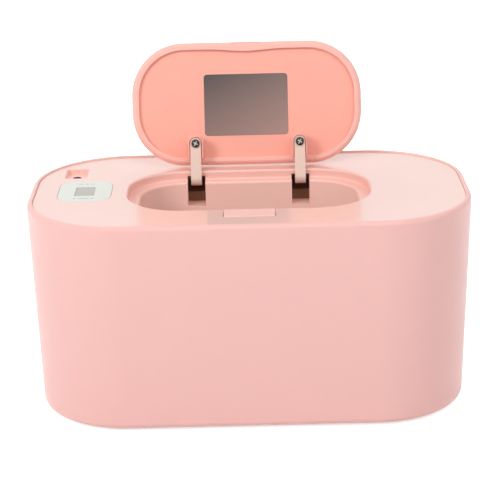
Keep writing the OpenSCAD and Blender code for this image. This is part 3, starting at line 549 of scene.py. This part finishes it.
def recess_and_throat():
    """The recess's profile carried round its outline, then the throat's profile round its own: down its
    inside, round its lower edge and up its outside. Slots, notch and catch are the faces left out."""
    throat = path(ledge_profile(), (0, THROAT_LOW + 0.3), (0.3, THROAT_LOW), (THROAT_WALL - 0.3, THROAT_LOW),
                  (THROAT_WALL, THROAT_LOW + 0.3), (THROAT_WALL, SLOT_LOW - 0.2))
    v, f = band([raise_to(recess_outline(g), z) for g, z in recess_profile()]
                + [raise_to(throat_outline(g), z) for g, z in throat])
    mid, height = v[f].mean(1), v[f][:, :, 2]
    x, front = np.abs(mid[:, 0]), mid[:, 1] < RECESS_MID[1]
    low, high = height.min(1) + TINY, height.max(1) - TINY
    slot = ~front & (np.abs(x - ARM_X) < SLOT_W/2) & (low >= SLOT_LOW) & (high <= DECK_UNDER)
    notch = front & (x < NOTCH_HALF) & (low >= NOTCH_LOW)
    catch = front & (x < CATCH_HALF) & (low >= CATCH_LOW)
    return v, f[~(slot | notch | catch)]


def hinge_pocket():
    """Hinge pocket's side outline in (y, z), and the number of points on its back. It starts at the front of
    the slot's floor, goes round the circle that the arms' bend swings through and along the roof, and comes
    down the recess's wall and over the ledge."""
    front = np.array([(RECESS_BACK + g, z) for g, z in recess_profile() if z <= DECK_UNDER + TINY]
                     + [(THROAT_BACK + g, z) for g, z in ledge_profile()])
    rise = math.degrees(math.asin((SLOT_ROOF - PIN_Z)/SWING))
    lip = RECESS_BACK + 1.4
    back = np.concatenate([[(PIN_Y, SLOT_LOW)], arc(PIN_Y, PIN_Z, SWING, -90, rise, 20),
                           [(lip, SLOT_ROOF), (lip, DECK_UNDER)]])
    return np.concatenate([front[-1:], back, front[:-1]]), len(back)


def hinge_pocket_sides():
    """Floors and side walls of the two hinge pockets."""
    side, _ = hinge_pocket()
    return [part for x in (-ARM_X, ARM_X) for part in hollow(side, x - SLOT_W/2, x + SLOT_W/2, 1)]


def hinge_pocket_backs():
    """Curved backs and roofs of the two hinge pockets, which are given a dark brown painted shade."""
    side, count = hinge_pocket()
    return [hollow(np.roll(side, -1, 0), x - SLOT_W/2, x + SLOT_W/2, count - 1)[0] for x in (-ARM_X, ARM_X)]


def button_notch():
    """Notch of the latch button: its front wall and its floor, open to the recess behind."""
    edge = [(RECESS_FRONT - g, z) for g, z in recess_profile() if z >= NOTCH_LOW - TINY]
    side = np.array([(NOTCH_FRONT, DECK_Z), (NOTCH_FRONT, NOTCH_LOW)] + edge[::-1])
    return hollow(side, -NOTCH_HALF, NOTCH_HALF, 2)


def deck_top():
    """Flat top between the rim and the openings, with the recess's hole led round the button's notch."""
    ring = recess_outline(RECESS_ROUND)
    at = np.flatnonzero((ring[:, 1] < RECESS_MID[1]) & (np.abs(ring[:, 0]) <= NOTCH_HALF + TINY))
    cut = np.array([[-NOTCH_HALF, NOTCH_FRONT], [NOTCH_HALF, NOTCH_FRONT]])
    ring = np.concatenate([ring[:at[0] + 1], cut, ring[at[-1]:]])
    holes = [ring, panel_outline(PANEL_GAP + SEAT_ROUND), pocket_outline(POCKET_ROUND)]
    return flat(body_outline(DECK_EDGE - RIM_ROUND), holes, DECK_Z)


def panel_seat():
    """Seat of the control panel: a small rounded edge, a wall and a floor."""
    wall = path(arc(PANEL_GAP + SEAT_ROUND, DECK_Z - SEAT_ROUND, SEAT_ROUND, 90, 180, 3),
                (PANEL_GAP, DECK_Z - PANEL_T))
    return [sweep(wall, panel_outline), cap(panel_outline(PANEL_GAP), DECK_Z - PANEL_T)]


def power_pocket():
    """Pocket of the power inlet: rounded edge, wall, fillet, and a floor with a bevelled round hole in it."""
    fillet, bevel = 0.4, 0.3
    wall = path(arc(POCKET_ROUND, DECK_Z - POCKET_ROUND, POCKET_ROUND, 90, 180, 6),
                arc(-fillet, POCKET_LOW + fillet, fillet, 0, -90, 5))
    wide, narrow = jack_outline(bevel), jack_outline(0)
    hole = [raise_to(wide, POCKET_LOW), raise_to(narrow, POCKET_LOW - 0.2), raise_to(narrow, DECK_UNDER)]
    return [sweep(wall, pocket_outline), flat(pocket_outline(-fillet), [wide], POCKET_LOW), band(hole)]


def deck_surface():
    """Moulded deck: its rim with a small rounded edge, the recess and throat with their cuts, the flat top
    and the underside."""
    rim = path((DECK_EDGE, DECK_UNDER), arc(DECK_EDGE - RIM_ROUND, DECK_Z - RIM_ROUND, RIM_ROUND, 0, 90, 5))
    under = flat(body_outline(DECK_EDGE), [throat_outline(9.0), jack_outline(0)], DECK_UNDER)
    return [sweep(rim, body_outline), recess_and_throat(), *hinge_pocket_sides(), *button_notch(), deck_top(),
            *panel_seat(), *power_pocket(), flipped(under)]


def deck_areas(m):
    """0 on the top and the panel's seat, 1 in the recess, slots and power pocket, 2 down in the throat, whose
    paler pink is painted light.
    """
    x, y, z = m.T
    seat = (np.abs(x - PANEL_X) < PANEL_W/2 + 0.5) & (np.abs(y - PANEL_Y) < PANEL_D/2 + 0.5)
    rim = ~inside(m, body_outline(-4.0))
    sunk = (z < DECK_Z - 0.02) & ~seat & ~rim | (z < DECK_Z - 2.2)
    throat = (z < LEDGE_Z - 0.6) & (y < THROAT_BACK + 0.1)
    return np.where(throat, 2, np.where(sunk, 1, 0))


piece("deck", deck_surface(), [DECK_PINK, WELL_PINK, THROAT_PAINTED_LIGHT], "deck", ["top_deck"],
      sharp=40, which=deck_areas)
# the pockets' backs carry a dark brown painted shade
piece("hinge_pocket_backs", hinge_pocket_backs(), [POCKET_PAINTED_SHADE], "deck")


# ---------------------------------------------------------------- latch button

def button_top(mid, inset, sink):
    """Button's top as rings that shrink to its middle. The depth follows a raised cosine from front to back,
    and falls with the fourth power of the distance from the middle to the sides."""
    ring = loop(BUTTON_W, BUTTON_D, 0.8, -inset, mid, 10)
    p = np.array(mid) + (ring - mid)*np.linspace(1.0, 0.0, 13)[:, None, None]
    u = (p[:, :, 0] - mid[0])/(BUTTON_W/2 - inset)
    v = (p[:, :, 1] - mid[1])/(BUTTON_D/2 - inset)
    depth = sink/2*(1 + np.cos(np.pi*np.clip(v, -1, 1)))*np.clip(1 - u**4, 0, 1)
    return band(np.concatenate([p, DECK_Z - depth[:, :, None]], 2))


def button_leg(x0, x1):
    """Leg below the cap, from x0 to x1: straight down, then along the wedge that drives the slider."""
    thick, straight, drop = 1.6, 2.5, 2.4
    y, top = BUTTON_FRONT + 1.0, DECK_Z - BUTTON_T
    knee, low, run = top - straight, top - straight - drop, drop*WEDGE
    side = np.array([(y, top), (y, knee), (y + run, low),
                     (y + run + thick, low), (y + thick, knee), (y + thick, top)])
    left, right = (np.column_stack([np.full(len(side), x), side]) for x in (x0, x1))
    return [band([left, right]), fill(left), flipped(fill(right))]


def button_surface():
    """Cap with rounded edges and a very shallow finger hollow, on two legs."""
    mid, inset = (0.0, BUTTON_FRONT + BUTTON_D/2), 0.5

    def outline(g):
        return loop(BUTTON_W, BUTTON_D, 0.8, g, mid, 10)

    low = DECK_Z - BUTTON_T
    wall = path((-0.3, low), arc(-inset, DECK_Z - inset, inset, 0, 90, 7))
    return [sweep(wall, outline), cap(outline(-0.3), low, False), button_top(mid, inset, 0.08),
            *button_leg(-9.9, -8.4), *button_leg(8.4, 9.9)]


piece("button", button_surface(), [BUTTON_PINK], "latch_button", ["latch_button"])


# --------------------------------------------------------------- control panel

def window_outline(g):
    """Display window's outline moved outwards by g."""
    return loop(WINDOW_W, WINDOW_D, 0.5, g, (PANEL_X, WINDOW_Y), 6)


def panel_surface():
    """Thin overlay with a rounded edge and a window opening."""
    edge = 0.3
    hole = window_outline(0)
    return [sweep(path((0, DECK_Z - PANEL_T), arc(-edge, PANEL_TOP - edge, edge, 0, 90, 5)), panel_outline),
            flat(panel_outline(-edge), [hole], PANEL_TOP),
            band([raise_to(hole, PANEL_TOP), raise_to(hole, DECK_Z - PANEL_T)])]


# Marks behind and in front of the window: x and y from the panel's middle, width, depth
PANEL_MARKS = ((0, 11.2, 1.0, 1.0), (-2.6, 11.2, 2.4, 0.45), (2.6, 11.2, 2.4, 0.45),
               (0, -11.6, 4.8, 0.45), (-4.2, -11.6, 1.0, 1.0), (4.2, -11.6, 1.0, 1.0))


def panel_marks():
    """Printed dots and short bars as thin raised shapes with round ends."""
    parts, high = [], PANEL_TOP + 0.02
    for x, y, w, d in PANEL_MARKS:
        ring = loop(w, d, min(w, d)/2 - 1e-4, 0, (PANEL_X + x, PANEL_Y + y), 10)
        parts += [band([raise_to(ring, PANEL_TOP), raise_to(ring, high)]), cap(ring, high)]
    return parts


def window_surface():
    """Thin clear plate with rounded top edges, just below the overlay's face."""
    def outline(g):
        return loop(WINDOW_W - 0.1, WINDOW_D - 0.1, 0.5, g, (PANEL_X, WINDOW_Y), 6)

    edge, high = 0.15, DECK_Z - 0.1
    wall = path((0, DECK_Z - PANEL_T), arc(-edge, high - edge, edge, 0, 90, 4))
    return [sweep(wall, outline), cap(outline(-edge), high)]


piece("panel_overlay", panel_surface(), [PANEL_PALE], "deck", ["control_panel"])
piece("panel_print", panel_marks(), [PRINT_GREY], "deck")
piece("window", window_surface(), [WINDOW_GREY], "deck", ["display_window"])


# ------------------------------------------------------------------------- lid

def lid_outline(g):
    """Closed lid's outline moved outwards by g, with points at the edges of the latch's cut."""
    return loop(LID_W, LID_D, LID_R, g, LID_MID, 48, steps(30), steps(59, LID_CUT_HALF))


def rim_outline(g):
    """Inner edge of the lid's rim, which bows inwards at the catch by a raised cosine of x."""
    bow, half = 1.1, 18.0
    p = lid_outline(-LID_RIM + g)
    x = np.clip(p[:, 0]/half, -1, 1)
    p[:, 1] += np.where(p[:, 1] < LID_MID[1], bow/2*(1 + np.cos(np.pi*x)), 0)
    return p


def lid_surface():
    """Lid's skin: the rim's inner wall, its narrow face with rounded edges, a side that leans in towards the
    face, a rounded top edge and a flat top, with a cut in the front side for the latch's tongue."""
    low, top, edge = LID_TOP - LID_T, LID_TOP, 0.3
    rim = path((0, LINER_LOW + 0.6), (0, low + edge), arc(edge, low + edge, edge, 180, 270, 5), (0.6, low))
    lean = np.array([(-0.9, low + 1.0), (-0.45, low + 1.6), (-0.1, top - 1.2)])
    at = np.interp((CATCH_LOW, CATCH_TOP), lean[:, 1], lean[:, 0])
    lean = sorted([*lean, (at[0], CATCH_LOW), (at[1], CATCH_TOP)], key=lambda p: p[1])
    side = path((-2.3, low), arc(-1.9, low + edge, edge, 270, 318, 4), lean,
                arc(-LID_EDGE, top - LID_EDGE, LID_EDGE, 0, 90, 9))
    v, f = band([raise_to(rim_outline(g), z) for g, z in rim]
                + [raise_to(lid_outline(g), z) for g, z in side])
    mid, height = v[f].mean(1), v[f][:, :, 2]
    cut = (mid[:, 1] < LID_FRONT + 1.5) & (np.abs(mid[:, 0]) < LID_CUT_HALF)
    cut &= (height.min(1) >= CATCH_LOW - TINY) & (height.max(1) <= CATCH_TOP + TINY)
    mouth = np.array([(LID_FRONT - g, z) for g, z in side if CATCH_LOW - TINY <= z <= CATCH_TOP + TINY])
    back = np.array([(LID_CUT_BACK, CATCH_TOP), (LID_CUT_BACK, CATCH_LOW)])
    walls = hollow(np.concatenate([mouth[-1:], back, mouth[:-1]]), -LID_CUT_HALF, LID_CUT_HALF, 3)
    floor = cap(rim_outline(0), LINER_LOW + 0.6, False)
    return [(v, f[~cut]), cap(lid_outline(-LID_EDGE), top), floor, *walls]


def boss_edge(x0, r, y_end):
    """Open outline of a boss: up its left side, half round the screw at radius r, back down its right."""
    a = np.radians(np.linspace(180, 360, 33))
    front = np.stack([x0 + r*np.cos(a), SCREW_Y + r*np.sin(a)], 1)
    back = np.linspace(y_end, SCREW_Y, 6)[:-1]
    left = np.stack([np.full(5, x0 - r), back], 1)
    right = np.stack([np.full(5, x0 + r), back[::-1]], 1)
    return np.concatenate([left, front, right])


def boss(x0):
    """Boss that an arm lies in: its wall flares out of the liner in a quarter circle, rises to a narrow
    rounded edge and drops into the groove under the arm."""
    outer, inner, flare, edge, fillet = 3.6, 3.0, 1.1, 0.3, 0.15
    low, floor, end = BAR_Z - ARM_T/2 + 0.4, BAR_Z + ARM_T/2 + 0.1, LID_BACK - LID_RIM
    side = path(arc(outer + flare, LINER_LOW - flare, flare, 90, 180, 8),
                arc(outer - edge, low + edge, edge, 0, -90, 4),
                arc(inner + fillet, low + fillet, fillet, 270, 180, 3), (inner - 0.05, floor))
    rows = [raise_to(boss_edge(x0, r, end), z) for r, z in side]
    rear = np.array([r[0] for r in rows] + [r[-1] for r in rows[::-1]])
    return [flipped(strip(rows)), flipped(fill(rows[-1])), fill(rear)]


def liner_surface():
    """Flat panel inside the rim, with a boss for each arm."""
    edge = rim_outline(-0.02)
    return [band([raise_to(edge, LINER_LOW), raise_to(rim_outline(0.02), LINER_LOW + 0.5)]),
            cap(edge, LINER_LOW, False), *boss(-ARM_X), *boss(ARM_X)]


piece("lid_skin", lid_surface(), [LID_PAINTED_WARM], "lid", ["lid_cover"], lid=True)
piece("lid_liner_panel", liner_surface(), [LINER_SALMON], "lid", ["lid_liner"], lid=True)


# ------------------------------------------------------------------ hinge arms

def arm_bar(x0):
    """Flat bar with a round end, bent back in half a circle to the pin. Its section is a rectangle with
    rounded corners, carried square to the arm's middle line, and its half width at the round end is that of
    a circle."""
    half_w, corner = ARM_W/2, 0.3
    t = np.r_[half_w*(1 - np.cos(np.linspace(0.0, np.pi/2, 14))), 6.0, 10.0]
    bar = np.stack([SCREW_Y - half_w + t, np.full(len(t), BAR_Z)], 1)
    line = np.concatenate([bar, arc(BEND_Y, BAR_Z + BEND_R, BEND_R, -90, 90, 22), [[PIN_Y, PIN_Z]]])
    along = np.gradient(line, axis=0)
    along /= np.linalg.norm(along, axis=1)[:, None]
    far = np.r_[np.minimum(t, half_w), np.full(len(line) - len(t), half_w)]
    half = np.sqrt(np.maximum(half_w**2 - (half_w - far)**2, 1e-4))[:, None]
    e = np.minimum(corner, half*0.6)
    a = (np.radians(np.linspace(0, 90, 5)) + np.arange(4)[:, None]*np.pi/2).ravel()
    across = np.repeat([1, -1, -1, 1], 5)*(half - e) + e*np.cos(a)
    up = np.repeat([1, 1, -1, -1], 5)*(ARM_T/2 - e) + e*np.sin(a)
    rows = np.stack([x0 + across, line[:, :1] - along[:, 1:]*up, line[:, 1:] + along[:, :1]*up], 2)
    return [flipped(band(rows)), fill(rows[0]), flipped(fill(rows[-1]))]


def arm_eye(x0):
    """Eye of an arm: a closed section of (radius, x) with bevelled corners, turned about the pin."""
    bore, outer, half_w, in_bevel, out_bevel = 1.05, 2.0, ARM_W/2, 0.1, 0.25
    ring = path((bore, -half_w + in_bevel), (bore + in_bevel, -half_w),
                (outer - out_bevel, -half_w), (outer, -half_w + out_bevel),
                (outer, half_w - out_bevel), (outer - out_bevel, half_w),
                (bore + in_bevel, half_w), (bore, half_w - in_bevel), (bore, -half_w + in_bevel))
    b = np.radians(np.linspace(0, 360, 33))[:-1]
    r, x = ring[:, :1], ring[:, 1:]
    return flipped(band(np.stack([x0 + x + 0*b, PIN_Y + r*np.cos(b), PIN_Z + r*np.sin(b)], 2)))


for side, x in (("left", -ARM_X), ("right", ARM_X)):
    piece("arm_" + side, [*arm_bar(x), arm_eye(x)], [ARM_CREAM], "lid", ["hinge_arm_" + side],
          lid=True)


def head_dome(r):
    """Height of a screw head's dome, which falls with the fourth power of the radius."""
    return HEAD_H*(1 - 0.35*(r/HEAD_R)**4)


def screw_head(x0):
    """Pan head as a disc in polar steps: the dome less a cross, whose flanks slope over a quarter millimetre
    and whose arms are turned by half a radian."""
    turn, reach, half, flank, slope, deep = 0.5, 1.3, 0.42, 0.24, 0.25, 0.8
    rings, spokes = np.r_[np.linspace(0.02, 1.0, 26), 1.0]*HEAD_R, np.radians(np.linspace(0, 360, 97))[:-1]
    r, a = np.meshgrid(rings, spokes, indexing="ij")
    x, y = r*np.cos(a), r*np.sin(a)
    u, w = np.abs(x*math.cos(turn) + y*math.sin(turn)), np.abs(-x*math.sin(turn) + y*math.cos(turn))
    first = np.clip((half - w)/flank, 0, 1)*np.clip((reach - u)/slope, 0, 1)
    second = np.clip((half - u)/flank, 0, 1)*np.clip((reach - w)/slope, 0, 1)
    h = head_dome(r) - deep*np.maximum(first, second)
    h[-1] = 0
    rows = np.stack([x0 + x, SCREW_Y + y, HEAD_SEAT - h], 2)
    return [flipped(band(rows[::-1])), fill(rows[0])]


def in_cross(m):
    """1 in the cross, where faces lie well below the dome along the screw, 0 elsewhere."""
    x, y, z = about_pins(m, OPEN).T
    r = np.hypot(np.abs(x) - ARM_X, y - SCREW_Y)
    return (HEAD_SEAT - z < head_dome(r) - 0.12) & (r < 1.5)


piece("arm_screw_heads", [*screw_head(-ARM_X), *screw_head(ARM_X)], [SCREW_BLACK, SCREW_BRIGHT], "lid",
      ["arm_screws"], lid=True, sharp=50, which=in_cross)


def plate_outline(g):
    """Bare plate's outline on the liner, moved outwards by g."""
    return loop(40.8, 29.8, 1.6, g, (-0.35, LID_BACK - 29.1), 10)


def plate_surface():
    """Thin plate with bevelled edges on the liner's face."""
    thick, bevel = 0.2, 0.08
    wall = path((0, LINER_LOW), (0, LINER_LOW - thick + bevel), (-bevel, LINER_LOW - thick))
    return [flipped(sweep(wall, plate_outline)), cap(plate_outline(-bevel), LINER_LOW - thick, False)]


piece("liner_plate", plate_surface(), [PLATE_PAINTED_REFLECTION], "lid", lid=True)


# ------------------------------------------------------ floor, light and camera
# Metres and watts from here on.

def seen_plainly(tree):
    """1 for rays from the camera and rays that a gloss reflects, 0 for the light that falls on things."""
    ray = node(tree, "ShaderNodeLightPath", (-900, 200))
    most = node(tree, "ShaderNodeMath", (-700, 200), operation="MAXIMUM")
    tree.links.new(ray.outputs["Is Camera Ray"], most.inputs[0])
    tree.links.new(ray.outputs["Is Glossy Ray"], most.inputs[1])
    return most.outputs[0]


def studio_floor(half=6.0, grey=0.76, near=(0.12, 0.66), far=(0.5, 0.95)):
    """Pale floor. Seen plainly, it also glows, weakly near the object and more strongly far from it, so that
    it runs into the white behind and keeps the object's shadow. near and far are (distance, strength)."""
    mesh = bpy.data.meshes.new("floor")
    corners = [(-half, -half, 0), (half, -half, 0), (half, half, 0), (-half, half, 0)]
    mesh.from_pydata(corners, [], [(0, 1, 2, 3)])
    floor = bpy.data.objects.new("floor", mesh)
    bpy.context.scene.collection.objects.link(floor)
    m = bpy.data.materials.new("floor white")
    m.use_nodes = True
    t = m.node_tree
    s = t.nodes["Principled BSDF"]
    s.inputs["Base Color"].default_value = (grey, grey, grey, 1)
    s.inputs["Roughness"].default_value = 0.6
    place = node(t, "ShaderNodeTexCoord", (-1100, -150))
    away = node(t, "ShaderNodeVectorMath", (-900, -150), operation="LENGTH")
    t.links.new(place.outputs["Object"], away.inputs[0])
    level = spread(t, away.outputs["Value"], (-700, -150), (near[0], far[0]), (near[1], far[1]))
    strength = node(t, "ShaderNodeMath", (-400, -100), operation="MULTIPLY")
    t.links.new(seen_plainly(t), strength.inputs[0])
    t.links.new(level, strength.inputs[1])
    glow = node(t, "ShaderNodeEmission", (-200, -200), Color=(1, 1, 1, 1))
    t.links.new(strength.outputs[0], glow.inputs["Strength"])
    both = node(t, "ShaderNodeAddShader", (100, 0))
    t.links.new(s.outputs[0], both.inputs[0])
    t.links.new(glow.outputs[0], both.inputs[1])
    t.links.new(both.outputs[0], t.nodes["Material Output"].inputs["Surface"])
    mesh.materials.append(m)


def surroundings(front=0.3, rear=0.8):
    """Surroundings that are white seen plainly, and light the object with one strength from the front and a
    higher one from the rear."""
    world = bpy.data.worlds.new("studio")
    bpy.context.scene.world = world
    world.use_nodes = True
    t = world.node_tree
    back = t.nodes["Background"]
    back.inputs["Color"].default_value = (1, 1, 1, 1)
    way = node(t, "ShaderNodeTexCoord", (-900, -100))
    split = node(t, "ShaderNodeSeparateXYZ", (-720, -100))
    t.links.new(way.outputs["Generated"], split.inputs[0])
    light = spread(t, split.outputs["Y"], (-540, -100), (-0.2, 0.6), (front, rear))
    level = node(t, "ShaderNodeMapRange", (-300, 100))
    level.inputs["To Max"].default_value = 1.0
    t.links.new(light, level.inputs["To Min"])
    t.links.new(seen_plainly(t), level.inputs["Value"])
    t.links.new(level.outputs["Result"], back.inputs["Strength"])


def lamp(name, place, aim, size, power, glints):
    """Rectangular softbox at a place, turned to what it aims at. Without glints, no gloss reflects it."""
    data = bpy.data.lights.new(name, "AREA")
    data.shape = "RECTANGLE"
    data.size, data.size_y = size
    data.energy = power
    obj = bpy.data.objects.new(name, data)
    obj.location = place
    obj.rotation_euler = (Vector(aim) - Vector(place)).to_track_quat("-Z", "Y").to_euler()
    obj.visible_glossy = glints
    bpy.context.scene.collection.objects.link(obj)


def photo_camera(focal_px, picture_px, place, azimuth, elevation, roll):
    """Camera fitted to the photograph: its focal length and the picture's width in pixels, its place, and its
    turn in degrees. Its back looks along the azimuth and elevation, and it rolls about that line."""
    data = bpy.data.cameras.new("photo view")
    data.sensor_width = 36.0
    data.lens = focal_px*data.sensor_width/picture_px
    data.clip_start, data.clip_end = 0.05, 20
    az, el, turn = math.radians(azimuth), math.radians(elevation), math.radians(roll)
    back = Vector((math.sin(az)*math.cos(el), -math.cos(az)*math.cos(el), math.sin(el)))
    level = Vector((math.cos(az), math.sin(az), 0))
    upright = back.cross(level)
    right = math.cos(turn)*level + math.sin(turn)*upright
    up = math.cos(turn)*upright - math.sin(turn)*level
    m = Matrix((right, up, back)).transposed().to_4x4()
    m.translation = place
    obj = bpy.data.objects.new("photo view", data)
    obj.matrix_world = m
    bpy.context.scene.collection.objects.link(obj)
    bpy.context.scene.camera = obj


studio_floor()
surroundings()
lamp("left softbox", (-0.85, -0.77, 0.77), (0, 0, 0.06), (0.5, 0.5), 8.3, False)
lamp("top softbox", (0.1, -0.6, 1.05), (0, 0, 0.05), (0.8, 0.6), 3.4, True)
lamp("right fill", (0.95, -0.75, 0.8), (0, 0, 0.06), (0.8, 0.8), 3.5, False)
lamp("rear softbox", (0.0, 0.95, 0.62), (0, 0, 0.1), (1.2, 0.5), 2.5, False)
photo_camera(1678.46, 500, (-0.001022, -0.753683, 0.330669), azimuth=-0.07, elevation=19.23, roll=-1.31)
bpy.context.scene.view_settings.view_transform = "Standard"
